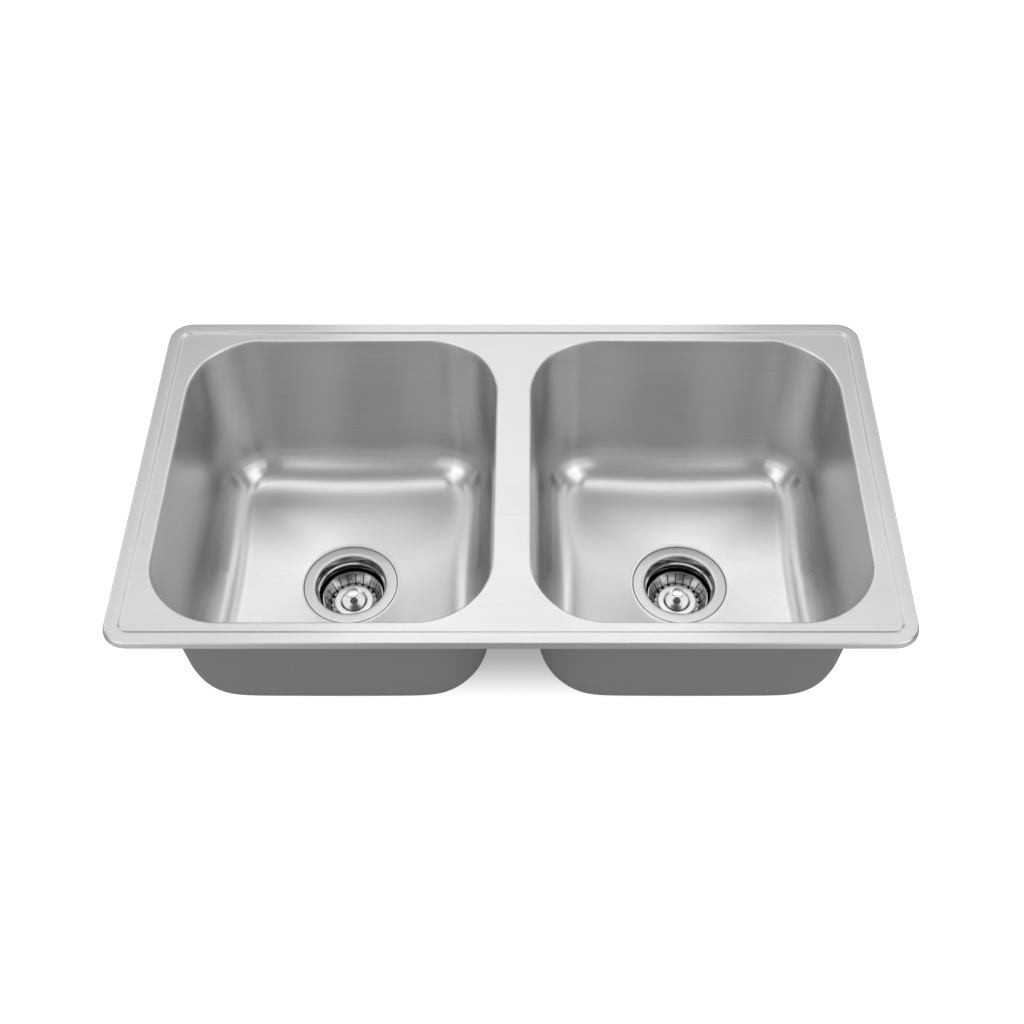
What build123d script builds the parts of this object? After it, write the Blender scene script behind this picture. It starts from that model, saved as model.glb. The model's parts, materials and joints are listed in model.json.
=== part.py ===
from build123d import *
import os

# Inset double bowl kitchen sink with two basket strainers.
# Millimetres. X runs to the right along the sink, Y to the back and Z up.
# The origin is the middle of the rim, on the worktop plane that the rim rests on.

# ---------------------------------------------------------------- deck and rim
SHEET = 1.2                     # stainless sheet of the deck and the bowls
SIDE_MARGIN = 16.65             # bowl opening to the deck's outline, left and right
FRONT_MARGIN = 11.4             # the same at the front and the back
RIM_HEIGHT = 6.0                # worktop to the top of the raised rim band
LIP_FLARE = 2.5                 # how far the lip leans out as it turns down
LIP_BEND = 2.2                  # outside radius of the bend over the lip
BAND_WIDTH = 12.8               # flat raised band round the deck
STEP_WIDTH = 2.8                # slope from the band down to the deck
STEP_DROP = 2.0                 # the deck lies this far under the band
STEP_BEND = 1.4                 # radius of both bends of the step
DECK_CORNER = 9.5               # plan radius of the deck's corners, inside the step

# ---------------------------------------------------------------- bowls
BOWL_LENGTH = 355.5             # bowl opening along X
BOWL_WIDTH = 396.0              # bowl opening along Y
BOWL_CORNER = 80.0              # plan radius of the opening's corners
DIVIDER = 39.5                  # deck between the two openings
OPENING_BEND = 4.0              # rolled edge where the deck turns down into a bowl
OPENING_EDGE_FLAT = 2.0         # flat of the pressed edge, outside that bend
OPENING_FLANGE = 2.5            # straight wall below that bend, down to the weld
BOWL_DEPTH = 220.0              # rim band to the strainer's flange
OUTER_DRAFT = 6.0               # how far each wall leans in on its way down
DIVIDER_DRAFT = 12.0
FRONT_DRAFT = 19.0
FOOT_CORNER = 66.0              # plan radius of the corners at the foot of the walls
FOOT_BEND = 56.0                # radius where the walls turn into the floor
FOOT_CORNER_LEAST = 2.0         # plan radius that the foot's corners keep inside that bend
FLOOR_FALL = 17.0               # the floor falls this much from the walls to the drain
FALL_MARGIN = 5.0               # level floor between that fall and the drain's recess
FALL_CORNER_GAP = 1.0           # straight half-sides of the fall's inner outline
DRAIN_OFFSET = 4.0              # drain centre, outwards from the middle of the opening
COATING = 1.0                   # sprayed undercoat outside the bowls
COATING_TOP_GAP = 3.0           # bare band between the undercoat and the weld
COATING_DRAIN_GAP = 4.5         # bare ring round the drain's recess

# ---------------------------------------------------------------- rim fixing
SEAL_WIDTH = 6.0                # foam tape under the band
SEAL_LIP_GAP = 1.0              # tape to the inside of the lip
RAIL_WIDTH = 6.4                # C-shaped rails that take the fixing clips
RAIL_HEIGHT = 9.0
RAIL_SHEET = 1.0
RAIL_SLOT = 2.2                 # opening between the rail's in-turned edges
RAIL_END_GAP = 26.0             # rail's end to the deck's corner

# ---------------------------------------------------------------- strainer
DRAIN_HOLE_GAP = 1.5            # strainer to the hole in the bowl's floor
FLANGE_RADIUS = 57.15           # 4 1/2 inch flange
FLANGE_CLEARANCE = 1.2          # flange to the wall of its recess
FLANGE_RIM = 0.9                # the flange's edge curls down this much
FLANGE_SEAL = 0.8               # thin seal under the flange
FLANGE_SEAL_EDGE = 1.5          # the seal stays this far inside the flange's edge
STRAINER_SHEET = 1.2
FLANGE_WIDTH = 14.85            # flange's edge in to the wall of the throat
THROAT_BEND = 2.4
FLANGE_EDGE_BEND = 0.5
LEDGE_DEPTH = 12.8              # flange to the ledge inside the throat
LEDGE_WIDTH = 2.6
LEDGE_FALL = 0.8
LEDGE_BEND = 0.4
CUP_WALL = 21.2                 # ledge to the foot of the cup's straight wall
CUP_BEND = 5.0                  # bend at that foot
CUP_SLOPE_DROP = 12.6           # the cup slopes down this much to the stopper's seat
CUP_SLOPE_RUN = 11.7            # and in by this much
SEAT_BEND = 2.0
OUTLET_BORE = 20.9              # inside radius of the outlet
OUTLET_RADIUS = 23.7            # over the outlet's thread, 1 1/2 inch pipe
OUTLET_LENGTH = 33.4            # seat to the end of the outlet
OUTLET_CHAMFER = 1.2
OUTLET_COLLAR = 2.6             # collar's reach past the thread, brazed under the cup
OUTLET_COLLAR_HEIGHT = 1.6
GASKET_WIDTH = 13.0             # rubber gasket under the bowl's floor
GASKET_THICKNESS = 2.6
WASHER_THICKNESS = 0.8          # friction washer between gasket and lock nut
NUT_CLEARANCE = 0.15            # thread clearance on the strainer's throat
NUT_WALL = 4.5                  # lock nut ring
NUT_HEIGHT = 5.4
NUT_LUGS = 6
LUG_WIDTH = 14.0
LUG_REACH = 6.0

# ---------------------------------------------------------------- crossbar
CROSSBAR_DROP = 5.9             # stopper's seat to the top of the crossbar
CROSSBAR_HEIGHT = 3.0
CROSSBAR_ARM = 3.2              # width of its arms
CROSSBAR_ARMS = 4
CROSSBAR_HUB = 6.0              # radius of its hub
CROSSBAR_GAP = 0.1              # arms to the outlet's bore

# ---------------------------------------------------------------- basket
BASKET_SHEET = 0.7
BASKET_CLEARANCE = 2.8          # basket's top edge to the strainer's cup
BASKET_HEIGHT = 15.2            # basket's floor to its top edge
BASKET_TAPER = 8.9              # how far the slotted wall leans in towards its foot
BASKET_RIM = 1.0                # height of the edge turned up above the slots
PRESS_BEND = 0.8                # tight bends in the thin pressed sheet
TROUGH_WIDTH = 3.9              # basket's floor outside the raised plate
TROUGH_BEND = 1.6
SLOTS = 20
SLOT_WIDTH = 1.3
SLOT_TOP_GAP = 1.8              # slots stop this far below the basket's edge
SLOT_DISC_GAP = 0.6             # and this far from the raised plate
DRAIN_SLOT_WIDTH = 3.6          # wide foot of each slot, in the trough
DRAIN_SLOT_RISE = 1.8           # how far that foot climbs the slotted wall
DISC_HEIGHT = 5.0               # basket's floor to the top of the raised plate
DISC_BEND = 1.6
DISC_DISH_MARGIN = 7.1          # level edge of the plate, outside its dished middle
DISC_DISH = 1.3
DISC_DISH_SLOPE = 2.0

# ---------------------------------------------------------------- stem and stopper
STEM_RADIUS = 2.8
STEM_RUNNING_GAP = 0.06         # basket and plate turn on the stem
STEM_GUIDE_GAP = 0.3            # stem slides in the crossbar
STEM_END_GAP = 8.0              # stem past the crossbar
STEM_SPLIT = 1.2                # saw cut between the two legs of the stem's end
STEM_SPLIT_LENGTH = 12.0
POST_RADIUS = 3.2
COLLAR_RADIUS = 5.2
COLLAR_HEIGHT = 2.2
KNOB_RADIUS = 7.3
KNOB_HEIGHT = 4.4
KNOB_CROWN = 1.9                # how far the knob's crown falls to its edge
KNOB_SIDE = 0.7                 # upright edge of the knob, below its crown
KNOB_RISE = 17.6                # raised plate to the top of the knob
TURN_GAP = 0.1                  # end play of the turning basket on the stem
STOPPER_THICKNESS = 6.1
STOPPER_EDGE_GAP = 3.0          # stopper's edge to the edge of its seat
STOPPER_GROOVE = 1.5            # groove that leaves the stopper two sealing lips
STOPPER_GAP = 0.1               # stopper to its seat
STEM_NUT_ACROSS_FLATS = 8.0
STEM_NUT_HEIGHT = 2.6

# ---------------------------------------------------------------- worked-out places
DECK_TOP = RIM_HEIGHT - STEP_DROP
DECK_UNDER = DECK_TOP - SHEET
LIP_REACH = STEP_WIDTH + BAND_WIDTH + LIP_FLARE      # deck outline to the lip's edge
DECK_LENGTH = 2 * (BOWL_LENGTH + SIDE_MARGIN) + DIVIDER
DECK_WIDTH = BOWL_WIDTH + 2 * FRONT_MARGIN
EDGE_WIDTH = OPENING_BEND + OPENING_EDGE_FLAT        # pressed edge round an opening
WELD_HEIGHT = DECK_TOP - OPENING_BEND - OPENING_FLANGE
BOWL_X = (DIVIDER + BOWL_LENGTH) / 2                 # centre of an opening
FLANGE_TOP = RIM_HEIGHT - BOWL_DEPTH                 # top plane of the strainer's flange
FLOOR_TOP = FLANGE_TOP + FLOOR_FALL                  # where the walls' and the floor's lines meet
FOOT_LENGTH = BOWL_LENGTH - OUTER_DRAFT - DIVIDER_DRAFT
FOOT_WIDTH = BOWL_WIDTH - 2 * FRONT_DRAFT
FOOT_X = BOWL_X + (DIVIDER_DRAFT - OUTER_DRAFT) / 2
DRAIN_X = BOWL_X + DRAIN_OFFSET
RECESS_RADIUS = FLANGE_RADIUS + FLANGE_CLEARANCE
RECESS_DEPTH = STRAINER_SHEET + FLANGE_SEAL
RECESS_FLOOR = FLANGE_TOP - RECESS_DEPTH             # sheet that the strainer clamps
GASKET_TOP = RECESS_FLOOR - SHEET
WASHER_TOP = GASKET_TOP - GASKET_THICKNESS
NUT_TOP = WASHER_TOP - WASHER_THICKNESS
THROAT_RADIUS = FLANGE_RADIUS - FLANGE_WIDTH         # inside the strainer, down to the ledge
THROAT_OUTSIDE = THROAT_RADIUS + STRAINER_SHEET
DRAIN_HOLE = THROAT_OUTSIDE + DRAIN_HOLE_GAP
LEDGE_TOP = FLANGE_TOP - LEDGE_DEPTH
CUP_RADIUS = THROAT_RADIUS - LEDGE_WIDTH
CUP_FOOT = LEDGE_TOP - CUP_WALL
SEAT_TOP = CUP_FOOT - CUP_SLOPE_DROP                 # flat seat that the stopper closes
SEAT_RADIUS = CUP_RADIUS - CUP_SLOPE_RUN
CROSSBAR_TOP = SEAT_TOP - CROSSBAR_DROP
CROSSBAR_UNDER = CROSSBAR_TOP - CROSSBAR_HEIGHT
STOPPER_UNDER = SEAT_TOP + STOPPER_GAP
STOPPER_TOP = STOPPER_UNDER + STOPPER_THICKNESS
STOPPER_RADIUS = SEAT_RADIUS - STOPPER_EDGE_GAP
BASKET_UNDER = STOPPER_TOP + TURN_GAP
BASKET_FLOOR = BASKET_UNDER + BASKET_SHEET
BASKET_TOP = BASKET_FLOOR + BASKET_HEIGHT
BASKET_RADIUS = CUP_RADIUS - BASKET_CLEARANCE        # over the slotted wall's top edge
TROUGH_RADIUS = BASKET_RADIUS - BASKET_TAPER         # foot of the slotted wall
DISC_RADIUS = TROUGH_RADIUS - TROUGH_WIDTH
DISC_TOP = BASKET_FLOOR + DISC_HEIGHT
DISC_HUB_TOP = DISC_TOP - DISC_DISH
DISC_DISH_RADIUS = DISC_RADIUS - DISC_DISH_MARGIN
TURNING_BORE = STEM_RADIUS + STEM_RUNNING_GAP
COLLAR_FOOT = DISC_HUB_TOP + TURN_GAP


# ================================================================ helpers
def bent_sheet(points, bends, thickness, side=Side.RIGHT):
    """A strip of bent sheet in section: one face follows the points, with rounded bends."""
    line = FilletPolyline(*points, radius=bends)
    return make_face(offset(line, amount=thickness, side=side))


def run_round(section, outline):
    """Run a section, drawn with X outwards and Y up, round a flat outline."""
    path = outline.wire()
    up = Vector(0, 0, 1)
    outward = (path % 0).cross(up)
    if outward.dot((path @ 0) - outline.center()) < 0:
        outward = outward * -1
    start = Plane(origin=path @ 0, x_dir=outward, z_dir=outward.cross(up))
    return sweep(start * section, path=path)


def turned(section):
    """Turn a half section, drawn with X as radius and Y as height, about the Z axis."""
    return revolve(Plane.XZ * section, axis=Axis.Z)


def turned_outline(*points):
    return turned(make_face(Polyline(*points, close=True)))


def ring(outer, inner, top, height):
    return turned_outline((inner, top - height), (outer, top - height), (outer, top), (inner, top))


def rounded_prism(length, width, corner, low, high, x=0.0):
    return extrude(Pos(x, 0, low) * RectangleRounded(length, width, corner), amount=high - low)


def opening(grow=0.0, height=0.0):
    """The right bowl's opening as a flat outline, grown all round."""
    size = (BOWL_LENGTH + 2 * grow, BOWL_WIDTH + 2 * grow)
    return Pos(BOWL_X, 0, height) * RectangleRounded(*size, BOWL_CORNER + grow)


def mirrored(solid):
    return mirror(solid, about=Plane.YZ)


# ================================================================ deck
def rim_section():
    """Lip, raised band and step, with X measured outwards from the deck's outline."""
    plate_overlap = 3 * STEP_BEND
    points = [
        (LIP_REACH + LIP_FLARE, -RIM_HEIGHT),    # on the lip's line, carried on below its edge
        (STEP_WIDTH + BAND_WIDTH, RIM_HEIGHT),
        (STEP_WIDTH, RIM_HEIGHT),
        (0, DECK_TOP),
        (-plate_overlap, DECK_TOP),
    ]
    strip = bent_sheet(points, [LIP_BEND, STEP_BEND, STEP_BEND], SHEET, Side.LEFT)
    above_worktop = Pos(0, RIM_HEIGHT) * Rectangle(4 * LIP_REACH, 2 * RIM_HEIGHT)
    return strip & above_worktop


def opening_edge():
    """Rolled edge round a bowl's opening, with X measured outwards from the bowl's wall."""
    points = [(0, WELD_HEIGHT), (0, DECK_TOP), (EDGE_WIDTH, DECK_TOP)]
    return bent_sheet(points, [OPENING_BEND], SHEET)


def make_deck():
    rim = run_round(rim_section(), RectangleRounded(DECK_LENGTH, DECK_WIDTH, DECK_CORNER))
    plate = rounded_prism(DECK_LENGTH, DECK_WIDTH, DECK_CORNER, DECK_UNDER, DECK_TOP)
    window = extrude(opening(EDGE_WIDTH, DECK_UNDER - SHEET), amount=3 * SHEET)
    edge = run_round(opening_edge(), opening())
    deck = rim + plate - window - mirrored(window)
    return deck + edge + mirrored(edge)


# ================================================================ bowls
def bowl_form(grow, top=WELD_HEIGHT):
    """The right bowl's inside as one solid, grown all round by a sheet or a coat."""
    mouth = opening(grow, WELD_HEIGHT)
    foot_height = FLOOR_TOP - grow
    foot_size = (FOOT_LENGTH + 2 * grow, FOOT_WIDTH + 2 * grow)
    foot = Pos(FOOT_X, 0, foot_height) * RectangleRounded(*foot_size, FOOT_CORNER + grow)
    form = loft([mouth, foot, fall_outline(grow)], ruled=True)
    bend = min(FOOT_BEND, FOOT_CORNER - FOOT_CORNER_LEAST) + grow
    form = fillet(form.edges().filter_by_position(Axis.Z, foot_height, foot_height), bend)
    if top < WELD_HEIGHT:
        form -= Pos(BOWL_X, 0, WELD_HEIGHT) * Box(
            2 * BOWL_LENGTH, 2 * BOWL_WIDTH, 2 * (WELD_HEIGHT - top)
        )
    return form + drain_recess(grow)


def fall_outline(grow):
    """Nearly round outline where the falling floor ends, just outside the drain's recess."""
    half = RECESS_RADIUS + FALL_MARGIN + grow
    place = Pos(DRAIN_X, 0, FLANGE_TOP - grow)
    return place * RectangleRounded(2 * half, 2 * half, half - FALL_CORNER_GAP)


def drain_recess(grow):
    """The recess that the strainer's flange sits in."""
    low = RECESS_FLOOR - grow
    high = FLANGE_TOP + FALL_MARGIN
    place = Pos(DRAIN_X, 0, (low + high) / 2)
    return place * Cylinder(RECESS_RADIUS + grow, high - low)


def make_bowl():
    hole = Pos(DRAIN_X, 0, RECESS_FLOOR) * Cylinder(DRAIN_HOLE, 8 * SHEET)
    return bowl_form(SHEET) - bowl_form(0) - hole


def make_undercoat():
    bare_radius = RECESS_RADIUS + SHEET + COATING_DRAIN_GAP
    bare_ring = Pos(DRAIN_X, 0, RECESS_FLOOR) * Cylinder(bare_radius, 4 * FLOOR_FALL)
    coat = bowl_form(SHEET + COATING, WELD_HEIGHT - COATING_TOP_GAP) - bowl_form(SHEET)
    return coat - bare_ring


# ================================================================ rim fixing
def make_rim_seal():
    """Foam tape under the band, level with the lip's edge."""
    outer = STEP_WIDTH + BAND_WIDTH - SHEET - SEAL_LIP_GAP
    height = RIM_HEIGHT - SHEET
    section = Pos(outer - SEAL_WIDTH / 2, height / 2) * Rectangle(SEAL_WIDTH, height)
    return run_round(section, RectangleRounded(DECK_LENGTH, DECK_WIDTH, DECK_CORNER))


def rail_section():
    """C section, open downwards, with X across the rail and Y up from the deck's underside."""
    middle = Pos(0, -RAIL_HEIGHT / 2)
    channel = middle * Rectangle(RAIL_WIDTH, RAIL_HEIGHT)
    room = middle * Rectangle(RAIL_WIDTH - 2 * RAIL_SHEET, RAIL_HEIGHT - 2 * RAIL_SHEET)
    slot = Pos(0, -RAIL_HEIGHT) * Rectangle(RAIL_SLOT, 3 * RAIL_SHEET)
    return channel - room - slot


def make_rail(length, deck_size, margin):
    """A rail along X, midway between the rolled edge of an opening and the front step."""
    rail = extrude(Plane.YZ * rail_section(), amount=length / 2, both=True)
    reach = deck_size / 2 - (margin - OPENING_BEND) / 2
    return Pos(0, -reach, DECK_UNDER) * rail


def make_rails():
    long_rail = make_rail(DECK_LENGTH - 2 * RAIL_END_GAP, DECK_WIDTH, FRONT_MARGIN)
    short_rail = make_rail(DECK_WIDTH - 2 * RAIL_END_GAP, DECK_LENGTH, SIDE_MARGIN)
    return {
        "front_clip_rail": long_rail,
        "back_clip_rail": Rot(0, 0, 180) * long_rail,
        "left_clip_rail": Rot(0, 0, -90) * short_rail,
        "right_clip_rail": Rot(0, 0, 90) * short_rail,
    }


# ================================================================ strainer
def make_strainer_body():
    """Flange, ledged throat and cup pressed in one sheet, down to the stopper's seat."""
    points = [
        (OUTLET_BORE, SEAT_TOP),
        (SEAT_RADIUS, SEAT_TOP),
        (CUP_RADIUS, CUP_FOOT),
        (CUP_RADIUS, LEDGE_TOP - LEDGE_FALL),
        (THROAT_RADIUS, LEDGE_TOP),
        (THROAT_RADIUS, FLANGE_TOP),
        (FLANGE_RADIUS - FLANGE_RIM, FLANGE_TOP),
        (FLANGE_RADIUS, FLANGE_TOP - FLANGE_RIM),
    ]
    bends = [SEAT_BEND, CUP_BEND, LEDGE_BEND, LEDGE_BEND, THROAT_BEND, FLANGE_EDGE_BEND]
    return turned(bent_sheet(points, bends, STRAINER_SHEET))


def make_outlet_tube():
    """Threaded outlet, with a collar that is brazed to the underside of the cup."""
    top = SEAT_TOP - STRAINER_SHEET
    end = SEAT_TOP - OUTLET_LENGTH
    return turned_outline(
        (OUTLET_BORE, top),
        (OUTLET_BORE, end),
        (OUTLET_RADIUS - OUTLET_CHAMFER, end),
        (OUTLET_RADIUS, end + OUTLET_CHAMFER),
        (OUTLET_RADIUS, top - OUTLET_COLLAR_HEIGHT),
        (OUTLET_RADIUS + OUTLET_COLLAR, top - OUTLET_COLLAR_HEIGHT),
        (OUTLET_RADIUS + OUTLET_COLLAR, top),
    )


def make_lock_nut():
    """Ring nut with lugs for a spanner."""
    bore = THROAT_OUTSIDE + NUT_CLEARANCE
    outside = bore + NUT_WALL
    nut = ring(outside, bore, NUT_TOP, NUT_HEIGHT)
    lug_length = NUT_WALL / 2 + LUG_REACH
    lug = Pos(outside - NUT_WALL / 2 + lug_length / 2, 0, NUT_TOP - NUT_HEIGHT / 2) * Box(
        lug_length, LUG_WIDTH, NUT_HEIGHT
    )
    return nut + PolarLocations(0, NUT_LUGS) * lug


def make_crossbar():
    """Hub on thin arms across the outlet, which guides the stem."""
    reach = OUTLET_BORE - CROSSBAR_GAP
    arm = Pos(reach / 2, 0, 0) * Box(reach, CROSSBAR_ARM, CROSSBAR_HEIGHT)
    bar = Cylinder(CROSSBAR_HUB, CROSSBAR_HEIGHT) + PolarLocations(0, CROSSBAR_ARMS) * arm
    bar = bar & Cylinder(reach, CROSSBAR_HEIGHT)
    bar -= Cylinder(STEM_RADIUS + STEM_GUIDE_GAP, 2 * CROSSBAR_HEIGHT)
    return Pos(0, 0, CROSSBAR_TOP - CROSSBAR_HEIGHT / 2) * bar


def make_strainer():
    """What stays in the bowl's floor: body, outlet, seals, lock nut and crossbar."""
    gasket_inside = THROAT_OUTSIDE + NUT_CLEARANCE
    gasket_outside = gasket_inside + GASKET_WIDTH
    seal_outside = FLANGE_RADIUS - FLANGE_SEAL_EDGE
    return {
        "strainer_body": make_strainer_body(),
        "outlet_tube": make_outlet_tube(),
        "flange_seal": ring(seal_outside, DRAIN_HOLE, RECESS_FLOOR + FLANGE_SEAL, FLANGE_SEAL),
        "drain_gasket": ring(gasket_outside, gasket_inside, GASKET_TOP, GASKET_THICKNESS),
        "friction_washer": ring(gasket_outside, gasket_inside, WASHER_TOP, WASHER_THICKNESS),
        "lock_nut": make_lock_nut(),
        "crossbar": make_crossbar(),
    }


# ================================================================ basket
def slot_cutter():
    """One slot down the basket's wall, with the wide foot that drains the trough."""
    start = DISC_RADIUS + SLOT_DISC_GAP
    slot_top = BASKET_TOP - SLOT_TOP_GAP
    slit_length = 2 * (BASKET_RADIUS - start)
    slit = Pos(BASKET_RADIUS, 0, (slot_top + BASKET_UNDER) / 2) * Box(
        slit_length, SLOT_WIDTH, slot_top - BASKET_UNDER
    )
    foot_length = TROUGH_RADIUS - DISC_RADIUS + TROUGH_BEND
    foot = Pos(start + foot_length / 2, 0, BASKET_FLOOR) * Box(
        foot_length, DRAIN_SLOT_WIDTH, 2 * DRAIN_SLOT_RISE
    )
    return slit + foot


def make_basket():
    """Pressed cup with a slotted, tapering wall, a turned-up edge and a flat floor."""
    points = [
        (TURNING_BORE, BASKET_FLOOR),
        (TROUGH_RADIUS, BASKET_FLOOR),
        (BASKET_RADIUS - BASKET_SHEET, BASKET_TOP - BASKET_RIM),
        (BASKET_RADIUS - BASKET_SHEET, BASKET_TOP),
    ]
    cup = turned(bent_sheet(points, [TROUGH_BEND, PRESS_BEND], BASKET_SHEET))
    return cup - PolarLocations(0, SLOTS) * slot_cutter()


def make_disc():
    """Dished plate that covers the middle of the basket and rests on its floor."""
    points = [
        (TURNING_BORE, DISC_HUB_TOP),
        (DISC_DISH_RADIUS - DISC_DISH_SLOPE, DISC_HUB_TOP),
        (DISC_DISH_RADIUS, DISC_TOP),
        (DISC_RADIUS, DISC_TOP),
        (DISC_RADIUS, BASKET_FLOOR),
    ]
    return turned(bent_sheet(points, [PRESS_BEND, PRESS_BEND, DISC_BEND], BASKET_SHEET))


def make_stem():
    """Knob, post and collar above the basket, and a split shank below it."""
    knob_top = DISC_TOP + KNOB_RISE
    crown_edge = knob_top - KNOB_CROWN
    stem_end = CROSSBAR_UNDER - STEM_END_GAP
    crown = TangentArc((0, knob_top), (KNOB_RADIUS, crown_edge), tangent=(1, 0))
    rest = Polyline(
        (KNOB_RADIUS, crown_edge),
        (KNOB_RADIUS, crown_edge - KNOB_SIDE),
        (POST_RADIUS, knob_top - KNOB_HEIGHT),
        (POST_RADIUS, COLLAR_FOOT + COLLAR_HEIGHT),
        (COLLAR_RADIUS, COLLAR_FOOT),
        (STEM_RADIUS, COLLAR_FOOT),
        (STEM_RADIUS, stem_end + STEM_RADIUS / 2),
        (STEM_RADIUS / 2, stem_end),
        (0, stem_end),
        (0, knob_top),
    )
    stem = turned(make_face(Curve() + [crown, rest]))
    split = Pos(0, 0, stem_end) * Box(4 * STEM_RADIUS, STEM_SPLIT, 2 * STEM_SPLIT_LENGTH)
    return stem - split


def make_stopper():
    """Rubber stopper with a groove round its edge, clamped under the basket."""
    middle = (STOPPER_TOP + STOPPER_UNDER) / 2
    inner = STOPPER_RADIUS - STOPPER_GROOVE
    return turned_outline(
        (STEM_RADIUS, STOPPER_UNDER),
        (STOPPER_RADIUS, STOPPER_UNDER),
        (STOPPER_RADIUS, middle - STOPPER_GROOVE),
        (inner, middle),
        (STOPPER_RADIUS, middle + STOPPER_GROOVE),
        (STOPPER_RADIUS, STOPPER_TOP),
        (STEM_RADIUS, STOPPER_TOP),
    )


def make_stem_nut():
    nut = extrude(
        Pos(0, 0, STOPPER_UNDER) * RegularPolygon(STEM_NUT_ACROSS_FLATS / 2, 6, major_radius=False),
        amount=-STEM_NUT_HEIGHT,
    )
    return nut - Pos(0, 0, STOPPER_UNDER) * Cylinder(STEM_RADIUS, 4 * STEM_NUT_HEIGHT)


def make_basket_set():
    """What lifts out: the turning basket with its plate, and the stem with its stopper."""
    return {
        "basket": make_basket(),
        "basket_disc": make_disc(),
        "stem": make_stem(),
        "stopper": make_stopper(),
        "stem_nut": make_stem_nut(),
    }


# ================================================================ whole sink
def make_nodes():
    bowl = make_bowl()
    coat = make_undercoat()
    nodes = {
        "deck": make_deck(),
        "right_bowl": bowl,
        "left_bowl": mirrored(bowl),
        "right_undercoat": coat,
        "left_undercoat": mirrored(coat),
        "rim_seal": make_rim_seal(),
    }
    nodes.update(make_rails())
    drain_set = {**make_strainer(), **make_basket_set()}
    for side, x in (("left", -DRAIN_X), ("right", DRAIN_X)):
        for name, solid in drain_set.items():
            nodes[f"{side}_{name}"] = Pos(x, 0, 0) * solid
    return nodes


os.makedirs("parts", exist_ok=True)
for node_name, node_solid in make_nodes().items():
    export_step(node_solid, f"parts/{node_name}.step")
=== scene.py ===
import json
import math
import bmesh
import bpy
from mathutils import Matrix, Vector

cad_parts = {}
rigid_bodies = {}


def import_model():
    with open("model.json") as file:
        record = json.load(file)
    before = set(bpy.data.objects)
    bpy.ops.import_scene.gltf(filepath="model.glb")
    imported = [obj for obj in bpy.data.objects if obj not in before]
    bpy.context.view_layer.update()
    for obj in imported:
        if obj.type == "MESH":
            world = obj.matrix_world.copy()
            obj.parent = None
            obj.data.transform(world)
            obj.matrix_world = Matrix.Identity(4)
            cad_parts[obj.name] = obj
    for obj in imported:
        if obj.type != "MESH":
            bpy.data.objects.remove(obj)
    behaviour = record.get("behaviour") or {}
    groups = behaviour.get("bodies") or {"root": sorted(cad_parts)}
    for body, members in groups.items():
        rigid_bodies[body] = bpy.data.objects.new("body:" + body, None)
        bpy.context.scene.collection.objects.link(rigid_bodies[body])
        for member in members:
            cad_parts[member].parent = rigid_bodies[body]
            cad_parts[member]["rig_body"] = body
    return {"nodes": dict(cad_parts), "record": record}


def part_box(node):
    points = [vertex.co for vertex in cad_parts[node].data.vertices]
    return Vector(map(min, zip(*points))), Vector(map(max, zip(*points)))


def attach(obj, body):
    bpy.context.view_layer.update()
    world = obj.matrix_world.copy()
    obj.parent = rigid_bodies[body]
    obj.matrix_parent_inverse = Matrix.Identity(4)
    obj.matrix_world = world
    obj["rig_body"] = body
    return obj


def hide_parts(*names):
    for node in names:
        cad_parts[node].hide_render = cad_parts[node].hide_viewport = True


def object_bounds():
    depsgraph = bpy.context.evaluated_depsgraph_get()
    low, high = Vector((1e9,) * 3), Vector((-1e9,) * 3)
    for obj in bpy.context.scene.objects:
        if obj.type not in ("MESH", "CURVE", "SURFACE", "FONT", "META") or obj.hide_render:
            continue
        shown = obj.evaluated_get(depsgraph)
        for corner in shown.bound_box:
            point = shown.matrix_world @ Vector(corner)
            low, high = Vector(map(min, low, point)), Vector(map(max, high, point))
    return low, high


# Inset double bowl kitchen sink: smooth sheet-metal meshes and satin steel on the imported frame.
# Metres. X runs to the right along the sink, Y to the back and Z up; z = 0 is the worktop.

MM = 0.001

# ---------------------------------------------------------------- deck and rim
SHEET = 1.2 * MM
LIP_FLARE = 2.5 * MM            # how far the lip leans out as it turns down
LIP_BEND = 2.2 * MM
BAND_WIDTH = 12.8 * MM          # flat raised band
STEP_WIDTH = 2.8 * MM           # slope from the band down to the deck
STEP_DROP = 2.0 * MM
STEP_BEND = 1.4 * MM
STEP_MARGIN = 3 * STEP_BEND     # flat ring inside the step
DECK_CORNER = 9.5 * MM          # plan radius of the deck's corners, inside the step
OPENING_BEND = 2.2 * MM         # rolled edge round a bowl's opening
OPENING_FLAT = 2.0 * MM         # flat ring outside that bend
SHARP_ANGLE = 50                # edges that turn more than this stay crisp
SAME_HEIGHT = 0.01 * MM         # points within this of a height lie on it

# ---------------------------------------------------------------- bowls
BOWL_CORNER = 80.0 * MM         # plan radius at the opening
FOOT_CORNER = 66.0 * MM         # the same at the foot of the walls
OUTER_DRAFT = 6.0 * MM          # how far each wall leans in on its way down
DIVIDER_DRAFT = 12.0 * MM
FRONT_DRAFT = 19.0 * MM
DRAFT_EASE = 9.0 * MM           # the walls take up their lean over this height
FOOT_BEND = 56.0 * MM
FLOOR_FALL = 17.0 * MM          # from the walls' foot line to the drain
FALL_MARGIN = 5.0 * MM          # level floor between that fall and the drain's recess
LEVEL_SHARE = 0.13              # level part of the floor, round the drain
BEND_REACH = 0.8                # how far the bend runs out on the floor, per its radius
WALL_ROWS = 20
WALL_GATHER = 1.3               # above 1, a wall's rows lie closer together near its top
BEND_ROWS = 26
BEND_GATHER = 1.5               # above 1, the bend comes to the floor's dish late
FLOOR_ROWS = 18
EASE_STEP = 4                   # every so many rows down, the drawn sheet gets EASE_PASSES more
EASE_PASSES = 5
RECESS_BEND = 0.35 * MM
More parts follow.
